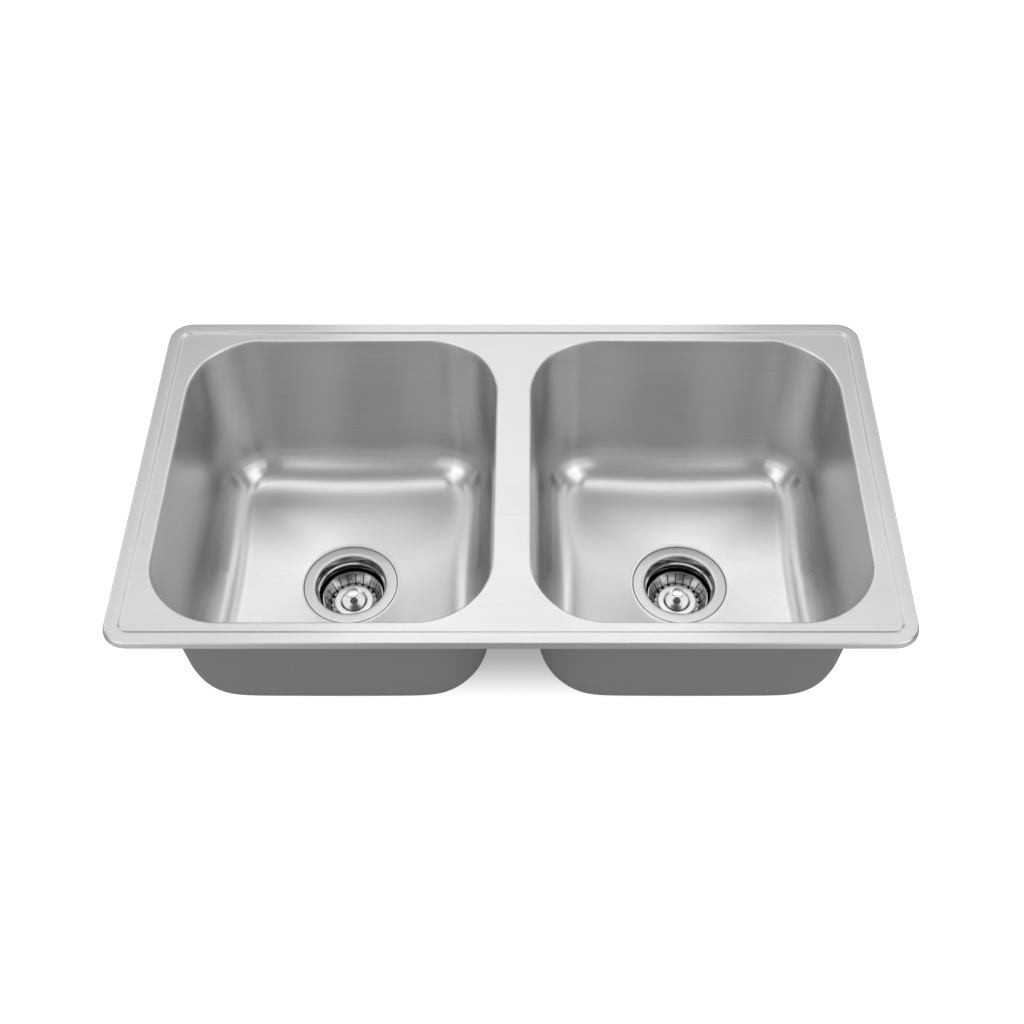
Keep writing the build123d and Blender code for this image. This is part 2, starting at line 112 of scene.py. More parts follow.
RECESS_ROWS = (2.5, 1.3)        # rows beside the recess's upper bend, per its radius
SEAT_ROW = 1.5                  # the row beside its lower bend
DRAIN_HOLE_GAP = 1.5 * MM
COATING = 1.0 * MM
COATING_SKIN = 0.9 * COATING    # the coat, less a hairline to the bowl
COATING_TOP_GAP = 3.0 * MM

# ---------------------------------------------------------------- strainer
TURNED_SIDES = 128
TURNED_ROW = 4.0 * MM           # longest row of a turned piece
FLANGE_GAP = 0.45 * MM          # hairline between the flange and its recess
FLANGE_SEAL = 0.8 * MM
FLANGE_RIM = 0.9 * MM
FLANGE_BEND = 0.5 * MM
THROAT_RADIUS = 42.3 * MM
THROAT_BEND = 2.4 * MM
LEDGE_DEPTH = 12.8 * MM
LEDGE_WIDTH = 2.6 * MM
LEDGE_FALL = 0.8 * MM
LEDGE_BEND = 0.4 * MM
CUP_WALL = 21.2 * MM
CUP_BEND = 5.0 * MM
CUP_SLOPE_DROP = 12.6 * MM
CUP_SLOPE_RUN = 11.7 * MM
CUP_SEAT_BEND = 2.0 * MM
OUTLET_BORE = 20.9 * MM
OUTLET_THREAD_RADIUS = 23.7 * MM
OUTLET_COLLAR_HEIGHT = 1.6 * MM
OUTLET_CHAMFER = 1.2 * MM
BORE_CHAMFER = 0.3 * MM
THREAD_PITCH = 2.2 * MM
THREAD_DEPTH = 0.7 * MM
THREAD_FLANK = 1.25             # above 1, the groove reaches its full depth before its middle
THREAD_CREST = 0.15             # share of the flank that the flat crest takes
THREAD_SIDES = 96
THREAD_ROWS = 8                 # rows per turn, and turns' eighths over which the thread runs out
THREAD_SHARP_ANGLE = 40

# ---------------------------------------------------------------- basket
BASKET_SHEET = 0.7 * MM
BASKET_TAPER = 8.9 * MM
BASKET_RIM = 1.0 * MM
BASKET_ROW = 0.7 * MM           # longest row of its sheet
BASKET_FOOT_BEND = 1.6 * MM
BASKET_RIM_BEND = 0.8 * MM
TROUGH_WIDTH = 3.9 * MM
SLOTS = 20
SLOT_WIDTH = 1.3 * MM
SLOT_CROWD = 0.6                # largest share of a ring that its slots take up
SLOT_CORE = 0.1                 # half of a slot's angle near the stem, in radians
LAND_STEPS = 8                  # faces across the land between two slots
DRAIN_SLOT_WIDTH = 3.6 * MM
SLOT_TOP_GAP = 1.8 * MM
SLOT_DISC_GAP = 0.6 * MM
DRAIN_SLOT_RISE = 1.8 * MM
DISC_HEIGHT = 5.0 * MM          # basket's floor to the top of the raised plate
DISC_BEND = 1.6 * MM
DISC_ROW = 1.5 * MM
DISC_SIDES = 96
DISC_DISH_MARGIN = 7.1 * MM
DISC_DISH = 1.7 * MM
DISC_DISH_SLOPE = 3.4 * MM
DISC_DISH_BEND = 1.6 * MM

# ---------------------------------------------------------------- stem
STEM_RADIUS = 2.8 * MM
STEM_HOLE = 1.05 * STEM_RADIUS  # the hole for it in basket and plate
STEM_SIDES = 48
STEM_SPLIT = 1.2 * MM           # saw cut between the two legs of the stem's end
STEM_SPLIT_LENGTH = 12.0 * MM
LEG_STEPS = 16
POST_RADIUS = 3.2 * MM
COLLAR_RADIUS = 5.2 * MM
COLLAR_HEIGHT = 2.2 * MM
KNOB_HEIGHT = 4.4 * MM
KNOB_CROWN = 0.7 * MM           # fall of the knob's top to its edge
KNOB_SIDE = 1.3 * MM
KNOB_BEND = 0.5 * MM
CROWN_STEPS = 8

SIDES = {"left": -1, "right": 1}

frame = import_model()
CAD_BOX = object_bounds()


# ================================================================ places read from the frame
class Places:
    """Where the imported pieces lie, for the right half; the left half mirrors it."""

    def __init__(self):
        deck_low, deck_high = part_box("deck")
        bowl_low, bowl_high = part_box("right_bowl")
        strainer_low, strainer_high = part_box("right_strainer_body")
        basket_low, basket_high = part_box("right_basket")
        self.rim_top = deck_high.z
        self.deck_top = self.rim_top - STEP_DROP
        lip_reach = STEP_WIDTH + BAND_WIDTH + LIP_FLARE
        self.deck_half_x = deck_high.x - lip_reach
        self.deck_half_y = deck_high.y - lip_reach
        self.weld = deck_low.z
        self.mouth_low_x = bowl_low.x + SHEET
        self.mouth_high_x = bowl_high.x - SHEET
        self.mouth_half_y = bowl_high.y - SHEET
        self.flange_top = strainer_high.z
        self.flange_radius = (strainer_high.x - strainer_low.x) / 2
        self.drain_x = (strainer_low.x + strainer_high.x) / 2
        self.foot = self.flange_top + FLOOR_FALL
        self.divider_reach = self.drain_x - self.mouth_low_x - DIVIDER_DRAFT
        self.outer_reach = self.mouth_high_x - OUTER_DRAFT - self.drain_x
        self.front_reach = self.mouth_half_y - FRONT_DRAFT
        self.recess_radius = self.flange_radius + FLANGE_GAP
        self.recess_floor = self.flange_top - SHEET - FLANGE_SEAL
        self.basket_radius = (basket_high.x - basket_low.x) / 2
        self.basket_top = basket_high.z
        self.basket_floor = basket_low.z + BASKET_SHEET
        self.knob_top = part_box("right_stem")[1].z


AT = Places()


# ================================================================ mesh helpers
def grid_mesh(name, rings, is_gap=None):
    """A smooth quad mesh over rings of points; is_gap names the faces that are left out."""
    mesh = bpy.data.meshes.new(name)
    width = len(rings[0])
    faces = []
    for i in range(len(rings) - 1):
        for j in range(width):
            if is_gap and is_gap(i, j):
                continue
            k = (j + 1) % width
            faces.append((i * width + j, i * width + k, (i + 1) * width + k, (i + 1) * width + j))
    mesh.from_pydata([tuple(p) for ring in rings for p in ring], [], faces)
    mesh.polygons.foreach_set("use_smooth", [True] * len(mesh.polygons))
    mesh.update()
    return mesh


def add_object(name, mesh):
    piece = bpy.data.objects.new(name, mesh)
    bpy.context.scene.collection.objects.link(piece)
    return piece


def apply_modifiers(piece):
    """Write the piece's live modifiers into its mesh."""
    bpy.context.view_layer.update()
    evaluated = piece.evaluated_get(bpy.context.evaluated_depsgraph_get())
    mesh = bpy.data.meshes.new_from_object(evaluated)
    piece.modifiers.clear()
    piece.data = mesh
    return piece


def thicken(piece, thickness):
    """Give the sheet its thickness, on the side away from its normals."""
    solid = piece.modifiers.new("sheet", "SOLIDIFY")
    solid.thickness = thickness
    solid.offset = -1.0
    solid.use_even_offset = True
    solid.use_rim = True
    piece = apply_modifiers(piece)
    piece.data.set_sharp_from_angle(angle=math.radians(SHARP_ANGLE))
    return piece


def arc_points(start, corner, end, bend, steps):
    """Points along the bend that rounds a corner between two straight runs in a section."""
    a = (Vector(start) - Vector(corner)).normalized()
    b = (Vector(end) - Vector(corner)).normalized()
    half = a.angle(b) / 2
    reach = bend / math.tan(half)
    centre = Vector(corner) + (a + b).normalized() * bend / math.sin(half)
    first = Vector(corner) + a * reach - centre
    last = Vector(corner) + b * reach - centre
    sweep = first.angle(last)
    points = []
    for i in range(steps + 1):
        t = i / steps
        point = (first * math.sin((1 - t) * sweep) + last * math.sin(t * sweep)) / math.sin(sweep)
        points.append(centre + point)
    return points


def bent_section(points, bends, steps=8):
    """A section line through the points, with each inner corner rounded by its bend."""
    line = [Vector(points[0])]
    for i, bend in enumerate(bends, start=1):
        line += arc_points(points[i - 1], points[i], points[i + 1], bend, steps)
    line.append(Vector(points[-1]))
    return line


def spread(line, longest):
    """Divide the long straight runs of a section line into shorter ones."""
    points = [line[0]]
    for a, b in zip(line, line[1:]):
        parts = max(1, math.ceil((b - a).length / longest))
        points += [a.lerp(b, i / parts) for i in range(1, parts + 1)]
    return points


# ================================================================ outlines
def rounded_ring(
    low_x, high_x, half_y, centre_low, centre_high, centre_y, z, straight=24, arc=24
):
    """A ring of points round a rectangle whose corners turn about the given centres."""
    corners = [
        (centre_high, centre_y, high_x - centre_high, half_y - centre_y, 0),
        (centre_low, centre_y, centre_low - low_x, half_y - centre_y, 1),
        (centre_low, -centre_y, centre_low - low_x, half_y - centre_y, 2),
        (centre_high, -centre_y, high_x - centre_high, half_y - centre_y, 3),
    ]
    turned = []
    for x, y, radius_x, radius_y, quarter in corners:
        arc_line = []
        for i in range(arc + 1):
            angle = math.pi / 2 * (quarter + i / arc)
            place = (x + radius_x * math.cos(angle), y + radius_y * math.sin(angle), z)
            arc_line.append(Vector(place))
        turned.append(arc_line)
    ring = []
    for i, arc_line in enumerate(turned):
        ring += arc_line
        following = turned[(i + 1) % 4][0]
        ring += [arc_line[-1].lerp(following, k / straight) for k in range(1, straight)]
    return ring


def rectangle_ring(half_x, half_y, corner, z, **counts):
    centre_x = half_x - corner
    return rounded_ring(
        -half_x, half_x, half_y, -centre_x, centre_x, half_y - corner, z, **counts
    )


def circle_ring(x, radius, z, count):
    ring = []
    for i in range(count):
        angle = 2 * math.pi * i / count
        ring.append(Vector((x + radius * math.cos(angle), radius * math.sin(angle), z)))
    return ring


# ================================================================ deck
def rim_line():
    """Section of lip, band and step: distance outside the deck's outline, and height."""
    reach = STEP_WIDTH + BAND_WIDTH
    points = [
        (reach + LIP_FLARE, 0.0),
        (reach, AT.rim_top),
        (STEP_WIDTH, AT.rim_top),
        (0, AT.deck_top),
        (-STEP_MARGIN, AT.deck_top),
    ]
    return bent_section(points, [LIP_BEND, STEP_BEND, STEP_BEND])


def deck_ring(outside, z):
    return rectangle_ring(
        AT.deck_half_x + outside, AT.deck_half_y + outside, DECK_CORNER + outside, z,
        straight=20, arc=12
    )


def opening_ring(outside, z, sign):
    ring = rounded_ring(
        AT.mouth_low_x - outside, AT.mouth_high_x + outside, AT.mouth_half_y + outside,
        AT.mouth_low_x + BOWL_CORNER, AT.mouth_high_x - BOWL_CORNER,
        AT.mouth_half_y - BOWL_CORNER, z,
    )
    if sign < 0:
        ring = [Vector((-p.x, p.y, p.z)) for p in reversed(ring)]
    return ring


def opening_line():
    """Section of the rolled edge: distance outside the bowl's wall, and height."""
    edge = OPENING_BEND + OPENING_FLAT
    return bent_section([(0, AT.weld), (0, AT.deck_top), (edge, AT.deck_top)], [OPENING_BEND], 12)


def fill_plate(mesh_rings):
    """The flat plate between the step and the two rolled edges."""
    bm = bmesh.new()
    for ring in mesh_rings:
        verts = [bm.verts.new(p) for p in ring]
        for a, b in zip(verts, verts[1:] + verts[:1]):
            bm.edges.new((a, b))
    bmesh.ops.triangle_fill(bm, edges=bm.edges[:], use_beauty=True, normal=(0, 0, 1))
    mesh = bpy.data.meshes.new("plate")
    bm.to_mesh(mesh)
    bm.free()
    return mesh


def join_meshes(name, meshes, weld=1e-6):
    bm = bmesh.new()
    for mesh in meshes:
        bm.from_mesh(mesh)
        bpy.data.meshes.remove(mesh)
    bmesh.ops.remove_doubles(bm, verts=bm.verts[:], dist=weld)
    bmesh.ops.recalc_face_normals(bm, faces=bm.faces[:])
    joined = bpy.data.meshes.new(name)
    bm.to_mesh(joined)
    bm.free()
    joined.polygons.foreach_set("use_smooth", [True] * len(joined.polygons))
    return joined


def face_up(mesh, test_height):
    """Turn all faces over if the flat ones at the test height look down."""
    flats = [f for f in mesh.polygons if abs(f.center.z - test_height) < SAME_HEIGHT]
    total = sum(f.normal.z * f.area for f in flats)
    if total < 0:
        mesh.flip_normals()
    return mesh


def make_deck():
    rim = [deck_ring(p.x, p.y) for p in rim_line()]
    parts = [grid_mesh("rim", rim)]
    borders = [rim[-1]]
    for sign in SIDES.values():
        edge = [opening_ring(p.x, p.y, sign) for p in opening_line()]
        parts.append(grid_mesh("edge", edge))
        borders.append(edge[-1])
    parts.append(fill_plate(borders))
    mesh = face_up(join_meshes("deck_sheet", parts), AT.deck_top)
    deck = thicken(add_object("deck_sheet", mesh), SHEET)
    return soften_plate(deck)


def soften_plate(deck):
    """Leave no crisp edges within the flat of the deck; those of its rims stay."""
    heights = (AT.deck_top, AT.deck_top - SHEET)
    flat = [any(abs(v.co.z - z) < SAME_HEIGHT for z in heights) for v in deck.data.vertices]
    for edge in deck.data.edges:
        if flat[edge.vertices[0]] and flat[edge.vertices[1]]:
            edge.use_edge_sharp = False
    return deck


# ================================================================ bowls
def floor_height(x, y):
    """The floor's dish: level round the drain, and rising ever more to the walls' foot."""
    if x > AT.drain_x:
        along = (x - AT.drain_x) / AT.outer_reach
    else:
        along = (AT.drain_x - x) / AT.divider_reach
    u, v = min(1.0, along), min(1.0, abs(y) / AT.front_reach)
    level = u * u + v * v - u * u * v * v
    return AT.flange_top + FLOOR_FALL * max(0.0, level - LEVEL_SHARE) / (1 - LEVEL_SHARE)


class Wall:
    """A wall in section: how far in from the opening's line it lies, and its height."""

    def __init__(self, draft, reach):
        self.height = AT.weld - AT.foot
        self.draft = draft
        self.lean = math.atan(draft / self.height)
        share = 1.0 - FOOT_BEND * BEND_REACH / reach
        rise = FLOOR_FALL / (1 - LEVEL_SHARE)
        slope = 2 * share * rise / reach
        foot = AT.flange_top + rise * (share * share - LEVEL_SHARE) + slope * reach * (1 - share)
        self.fall = math.atan(slope)
        run = FOOT_BEND / math.cos(self.lean + self.fall)
        self.centre = Vector((
            self.lean_in(AT.weld - foot) + run * (math.cos(self.fall) - math.sin(self.lean)),
            foot + run * (math.cos(self.lean) - math.sin(self.fall)),
        ))

    def lean_in(self, depth):
        """How far in the wall has come at a depth below the weld; it takes up its lean gently."""
        slope = self.draft / self.height
        if depth < DRAFT_EASE:
            return slope * depth * depth / (2 * DRAFT_EASE)
        return slope * (depth - DRAFT_EASE / 2)

    def upright(self, t, top, grow):
        """A point of the straight part, from its top (0) to where the bend starts (1)."""
        end = self.centre.y - (FOOT_BEND + grow) * math.sin(self.lean)
        z = top + (end - top) * t
        return Vector((self.lean_in(AT.weld - z) - grow / math.cos(self.lean), z))

    def bend(self, t, grow):
        """A point of the bend at the foot, from the wall (0) to the floor (1)."""
        angle = self.lean + (math.pi / 2 - self.fall - self.lean) * t
        out = Vector((math.cos(angle), math.sin(angle)))
        return self.centre - (FOOT_BEND + grow) * out


def make_walls():
    return (
        Wall(DIVIDER_DRAFT, AT.divider_reach),
        Wall(OUTER_DRAFT, AT.outer_reach),
        Wall(FRONT_DRAFT, AT.front_reach),
    )


def bowl_ring(walls, points, depth):
    """A ring round the bowl through a point of each wall, with corners that tighten downwards."""
    share = min(1.0, depth / walls[0].height)
    corner = BOWL_CORNER + (FOOT_CORNER - BOWL_CORNER) * share
    leans = [wall.lean_in(min(depth, wall.height)) for wall in walls]
    divider, outer, front = points
    ring = rounded_ring(
        AT.mouth_low_x + divider.x, AT.mouth_high_x - outer.x, AT.mouth_half_y - front.x,
        AT.mouth_low_x + leans[0] + corner, AT.mouth_high_x - leans[1] - corner,
        AT.mouth_half_y - leans[2] - corner, 0.0,
    )
    middle_x = (AT.mouth_low_x + AT.mouth_high_x) / 2
    heights = (divider.y, outer.y, front.y)
    return [lift_to_walls(p, middle_x, heights, walls, leans, corner) for p in ring]


def lift_to_walls(point, middle_x, heights, walls, leans, corner):
    """Give a ring's point the height of its wall, passing from one wall to the next in a corner."""
    divider_z, outer_z, front_z = heights
    side = point.x > middle_x
    side_z = outer_z if side else divider_z
    edge = AT.mouth_high_x - leans[1] if side else AT.mouth_low_x + leans[0]
    along_x = corner - abs(edge - point.x)
    along_y = corner - (AT.mouth_half_y - leans[2] - abs(point.y))
    turn = math.atan2(max(0.0, along_x), max(0.0, along_y)) / (math.pi / 2)
    return Vector((point.x, point.y, front_z + (side_z - front_z) * turn))


def wall_rings(walls, top, grow=0.0):
    rings = []
    for i in range(WALL_ROWS):
        t = (i / WALL_ROWS) ** WALL_GATHER
        points = [wall.upright(t, top, grow) for wall in walls]
        rings.append(bowl_ring(walls, points, AT.weld - points[2].y))
    bend = []
    for i in range(BEND_ROWS + 1):
        points = [wall.bend(i / BEND_ROWS, grow) for wall in walls]
        bend.append(bowl_ring(walls, points, walls[0].height))
    rises = [floor_height(p.x, p.y) - grow - p.z for p in bend[-1]]
    for i, ring in enumerate(bend):
        share = (i / BEND_ROWS) ** BEND_GATHER
        for p, rise in zip(ring, rises):
            p.z += rise * share
    return rings + bend


def drain_ring(edge, radius, z):
    """A circle round the drain, with its points in line with those of the walls' ring."""
    centre = Vector((AT.drain_x, 0, 0))
    ring = []
    for p in edge:
        out = Vector((p.x - centre.x, p.y, 0)).normalized() * radius
        ring.append(Vector((centre.x + out.x, out.y, z)))
    return ring


def floor_rings(edge, grow):
    """Rings from the foot of the walls in to the level margin round the recess."""
    last = drain_ring(edge, AT.recess_radius + FALL_MARGIN + grow, AT.flange_top - grow)
    rings = []
    for i in range(1, FLOOR_ROWS + 1):
        t = i / FLOOR_ROWS
        ring = [p.lerp(q, t) for p, q in zip(edge, last)]
        rings.append([Vector((p.x, p.y, floor_height(p.x, p.y) - grow)) for p in ring])
    return rings


def recess_rings(edge, hole):
    """The small step down to the strainer's seat, and the seat in to the drain hole."""
    line = bent_section(
        [
            (AT.recess_radius + FALL_MARGIN / 2, AT.flange_top),
            (AT.recess_radius, AT.flange_top),
            (AT.recess_radius, AT.recess_floor),
            (hole, AT.recess_floor),
        ],
        [RECESS_BEND, RECESS_BEND], 5,
    )
    for i, row in enumerate(RECESS_ROWS, start=1):
        line.insert(i, Vector((AT.recess_radius + row * RECESS_BEND, AT.flange_top)))
    line.insert(-1, Vector((AT.recess_radius - SEAT_ROW * RECESS_BEND, AT.recess_floor)))
    return [drain_ring(edge, point.x, point.y) for point in line]


def mirror_rings(rings, sign):
    if sign > 0:
        return rings
    return [[Vector((-p.x, p.y, p.z)) for p in reversed(ring)] for ring in rings]


def ease_rows(mesh, width, first_row, last_row, passes):
    """Smooth some rows of a grid mesh, as a drawn sheet has no sudden change of curve."""
    bm = bmesh.new()
    bm.from_mesh(mesh)
    bm.verts.ensure_lookup_table()
    verts = bm.verts[first_row * width:last_row * width]
    for _ in range(passes):
        bmesh.ops.smooth_vert(
            bm, verts=verts, factor=0.5, use_axis_x=True, use_axis_y=True, use_axis_z=True
        )
    bm.to_mesh(mesh)
    bm.free()


def ease_drawing(mesh, width, floor_end):
    """Ease a drawn bowl ever more from its walls to its floor."""
    for first in range(WALL_ROWS // 3, WALL_ROWS + BEND_ROWS, EASE_STEP):
        ease_rows(mesh, width, first, floor_end, EASE_PASSES)


def make_bowl(side):
    upright = wall_rings(make_walls(), AT.weld)
    floor = floor_rings(upright[-1], 0.0)
    hole = THROAT_RADIUS + SHEET + DRAIN_HOLE_GAP
    rings = mirror_rings(upright + floor + recess_rings(upright[-1], hole), SIDES[side])
    mesh = grid_mesh(f"{side}_bowl_sheet", rings)
    ease_drawing(mesh, len(rings[0]), len(upright) + len(floor))
    mesh = face_up(mesh, AT.recess_floor)
    return thicken(add_object(f"{side}_bowl_sheet", mesh), SHEET)


def make_undercoat(side):
    """Skin of sprayed coat on the outside of a bowl, with a bare ring round the drain."""
    grow = SHEET + COATING
    top = AT.weld - COATING_TOP_GAP
    upright = wall_rings(make_walls(), top, grow)
    floor = floor_rings(upright[-1], grow)
    rings = mirror_rings(upright + floor, SIDES[side])
    mesh = grid_mesh(f"{side}_undercoat_skin", rings)
    ease_drawing(mesh, len(rings[0]), len(rings) - 1)
    total = sum(f.normal.z * f.area for f in mesh.polygons)
    if total > 0:
        mesh.flip_normals()
    return thicken(add_object(f"{side}_undercoat_skin", mesh), COATING_SKIN)


# ================================================================ strainer and basket
def turned_mesh(name, line, x, count=TURNED_SIDES):
    """A surface of revolution about the drain's axis."""
    return grid_mesh(name, [circle_ring(x, p.x, p.y, count) for p in line])


def strainer_line():
    top = AT.flange_top
    radius = AT.flange_radius
    cup = THROAT_RADIUS - LEDGE_WIDTH
    ledge = top - LEDGE_DEPTH
    foot = ledge - CUP_WALL
    seat = foot - CUP_SLOPE_DROP
    points = [
        (radius, top - FLANGE_RIM),
        (radius - FLANGE_RIM, top),
        (THROAT_RADIUS, top),
        (THROAT_RADIUS, ledge),
        (cup, ledge - LEDGE_FALL),
        (cup, foot),
        (cup - CUP_SLOPE_RUN, seat),
        (OUTLET_BORE, seat),
    ]
    bends = [FLANGE_BEND, THROAT_BEND, LEDGE_BEND, LEDGE_BEND, CUP_BEND, CUP_SEAT_BEND]
    return spread(bent_section(points, bends, 8), TURNED_ROW)


def make_strainer(side):
    x = SIDES[side] * AT.drain_x
    mesh = turned_mesh(f"{side}_strainer_sheet", strainer_line(), x)
    mesh = face_up(mesh, AT.flange_top)
    return thicken(add_object(f"{side}_strainer_sheet", mesh), SHEET)


def basket_line():
    """Section of the basket's trough and slotted wall, from the stem outwards."""
    floor = AT.basket_floor
    trough = AT.basket_radius - BASKET_TAPER
    edge = AT.basket_radius - BASKET_SHEET
    points = [
        (STEM_HOLE, floor),
        (trough, floor),
        (edge, AT.basket_top - BASKET_RIM),
        (edge, AT.basket_top),
    ]
    return spread(bent_section(points, [BASKET_FOOT_BEND, BASKET_RIM_BEND], 6), BASKET_ROW)


def slot_width(radius, z):
    """Width of a slot where the section line passes, or none."""
    disc = AT.basket_radius - BASKET_TAPER - TROUGH_WIDTH
    if radius < disc + SLOT_DISC_GAP or z > AT.basket_top - SLOT_TOP_GAP:
        return 0.0
    if z < AT.basket_floor + DRAIN_SLOT_RISE:
        return DRAIN_SLOT_WIDTH
    return SLOT_WIDTH


def slot_half_angle(radius, width):
    """Half of the angle that a slot of a width takes up in a ring."""
    if radius <= 2 * SLOT_WIDTH:
        return SLOT_CORE
    half = math.asin(min(1, max(width, SLOT_WIDTH) / 2 / radius))
    return min(half, SLOT_CROWD * math.pi / SLOTS)


def basket_ring(x, radius, z, half):
    """A ring of points: each slot's first side, and then its second side and the land."""
    land = 2 * math.pi / SLOTS - 2 * half
    points = []
    for s in range(SLOTS):
        middle = 2 * math.pi * s / SLOTS
        angles = [middle - half]
        angles += [middle + half + land * k / LAND_STEPS for k in range(LAND_STEPS)]
        points += [(x + radius * math.cos(a), radius * math.sin(a), z) for a in angles]
    return points


def make_basket(side):
    """Pressed cup with the slots left out of its wall."""
    x = SIDES[side] * AT.drain_x
    line = basket_line()
    widths = [slot_width(p.x, p.y) for p in line]
    rings = [basket_ring(x, p.x, p.y, slot_half_angle(p.x, w)) for p, w in zip(line, widths)]

    def in_slot(i, j):
        return j % (LAND_STEPS + 1) == 0 and widths[i] > 0 and widths[i + 1] > 0

    mesh = face_up(grid_mesh(f"{side}_basket_cup", rings, in_slot), AT.basket_floor)
    return thicken(add_object(f"{side}_basket_cup", mesh), BASKET_SHEET)


def make_disc(side):
    """Raised plate with its shallow dish, in the middle of the basket."""
    radius = AT.basket_radius - BASKET_TAPER - TROUGH_WIDTH
    top = AT.basket_floor + DISC_HEIGHT
    dish = radius - DISC_DISH_MARGIN
    points = [
        (STEM_HOLE, top - DISC_DISH),
        (dish - DISC_DISH_SLOPE, top - DISC_DISH),
        (dish, top),
        (radius, top),
        (radius, AT.basket_floor),
    ]
    line = spread(bent_section(points, [DISC_DISH_BEND, DISC_DISH_BEND, DISC_BEND], 8), DISC_ROW)
    mesh = turned_mesh(f"{side}_raised_plate", line, SIDES[side] * AT.drain_x, DISC_SIDES)
    mesh = face_up(mesh, top)
    return thicken(add_object(f"{side}_raised_plate", mesh), BASKET_SHEET)


def stem_leg(x, low, high, sign):
    """One of the two legs that the saw cut leaves of the shank."""
    start = math.asin(STEM_SPLIT / 2 / STEM_RADIUS)
    sweep = math.pi - 2 * start
    angles = [start + sweep * i / LEG_STEPS for i in range(LEG_STEPS + 1)]
    ring = [(x + STEM_RADIUS * math.cos(a), sign * STEM_RADIUS * math.sin(a)) for a in angles]
    count = len(ring)
    points = [(px, py, z) for z in (low, high) for px, py in ring]
    faces = [tuple(range(count)), tuple(range(count, 2 * count))]
    faces += [(i, (i + 1) % count, count + (i + 1) % count, count + i) for i in range(count)]
    mesh = bpy.data.meshes.new("leg")
    mesh.from_pydata(points, [], faces)
    return mesh


def make_stem(side):
    """Knob, post and collar over the basket's plate, and the split shank under it."""
    low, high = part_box(f"{side}_stem")
    x = (low.x + high.x) / 2
    knob = (high.x - low.x) / 2
    collar_foot = AT.basket_floor + DISC_HEIGHT - DISC_DISH
    shank_end = low.z + STEM_SPLIT_LENGTH
    crown = []
    for i in range(CROWN_STEPS - 1):
        out = i / CROWN_STEPS
        crown.append(Vector((knob * out, high.z - KNOB_CROWN * out ** 2)))
    edge = high.z - KNOB_CROWN
    points = [
        crown[-1], (knob, edge), (knob, edge - KNOB_SIDE), (POST_RADIUS, high.z - KNOB_HEIGHT),
        (POST_RADIUS, collar_foot + COLLAR_HEIGHT), (COLLAR_RADIUS, collar_foot),
        (STEM_RADIUS, collar_foot), (STEM_RADIUS, shank_end), (0, shank_end),
    ]
    bends = [KNOB_BEND * share for share in (1, 1 / 2, 1, 1, 1 / 2, 1 / 4, 1 / 4)]
    line = crown[:-1] + bent_section(points, bends, 4)
    parts = [turned_mesh("stem", line, x, STEM_SIDES)]
    parts += [stem_leg(x, low.z, shank_end, sign) for sign in (1, -1)]
    mesh = join_meshes(f"{side}_knob_and_shank", parts)
    mesh.set_sharp_from_angle(angle=math.radians(SHARP_ANGLE))
    return add_object(f"{side}_knob_and_shank", mesh)


def thread_depth(turn):
    """How deep the thread's groove is at a share of its pitch: flat crests, sharp roots."""
    across = abs((turn % 1.0) - 0.5) * 2
    return THREAD_DEPTH * min(1.0, max(0.0, THREAD_FLANK * across - THREAD_CREST))


def thread_rows(x, start, end):
    """Rings down the thread, which runs out at both of its ends."""
    rows = []
    steps = math.ceil((start - end) / (THREAD_PITCH / THREAD_ROWS))
    for i in range(steps + 1):
        z = start + (end - start) * i / steps
        fade = min(1.0, i / THREAD_ROWS, (steps - i) / THREAD_ROWS)
        ring = []
        for k in range(THREAD_SIDES):
            turn = k / THREAD_SIDES
            angle = 2 * math.pi * turn
            r = OUTLET_THREAD_RADIUS - fade * thread_depth(z / THREAD_PITCH + turn)
            ring.append(Vector((x + r * math.cos(angle), r * math.sin(angle), z)))
        rows.append(ring)
    return rows


def make_outlet(side):
    """Outlet tube with its collar, its coarse pipe thread outside and a plain bore."""
    low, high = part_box(f"{side}_outlet_tube")
    x = (low.x + high.x) / 2
    collar = (high.x - low.x) / 2
    collar_foot = high.z - OUTLET_COLLAR_HEIGHT
    above = [
        (OUTLET_BORE, low.z + BORE_CHAMFER), (OUTLET_BORE, high.z),
        (collar, high.z), (collar, collar_foot), (OUTLET_THREAD_RADIUS, collar_foot),
    ]
    below = [(OUTLET_THREAD_RADIUS - OUTLET_CHAMFER, low.z), (OUTLET_BORE + BORE_CHAMFER, low.z)]
    rows = [circle_ring(x, r, z, THREAD_SIDES) for r, z in above]
    rows += thread_rows(x, collar_foot - THREAD_PITCH, low.z + OUTLET_CHAMFER)
    rows += [circle_ring(x, r, z, THREAD_SIDES) for r, z in below + above[:1]]
    mesh = join_meshes(f"{side}_threaded_outlet", [grid_mesh("outlet", rows)])
    mesh.set_sharp_from_angle(angle=math.radians(THREAD_SHARP_ANGLE))
    return add_object(f"{side}_threaded_outlet", mesh)


# ================================================================ grain, and shade painted on the surface
STROKE_FLAT = (0.5, 0.9)        # upward share of the normal: wall strokes below, flat ones above
INWARDS = -0.5                  # a wall that looks at the drain's axis faces it by less than this
# painted shade, as shares of the base colour: darker down the strainer's throat and cup, in the
# basket's trough and on the stem's post
LEDGE_SHADE = 0.7
THROAT_SHADE_FALL = 0.75        # how much darker the throat's wall is at the ledge than at its top
DEEPEST_SHADE = 0.2
TROUGH_SHADE = 0.35
POST_SHADE = 0.25


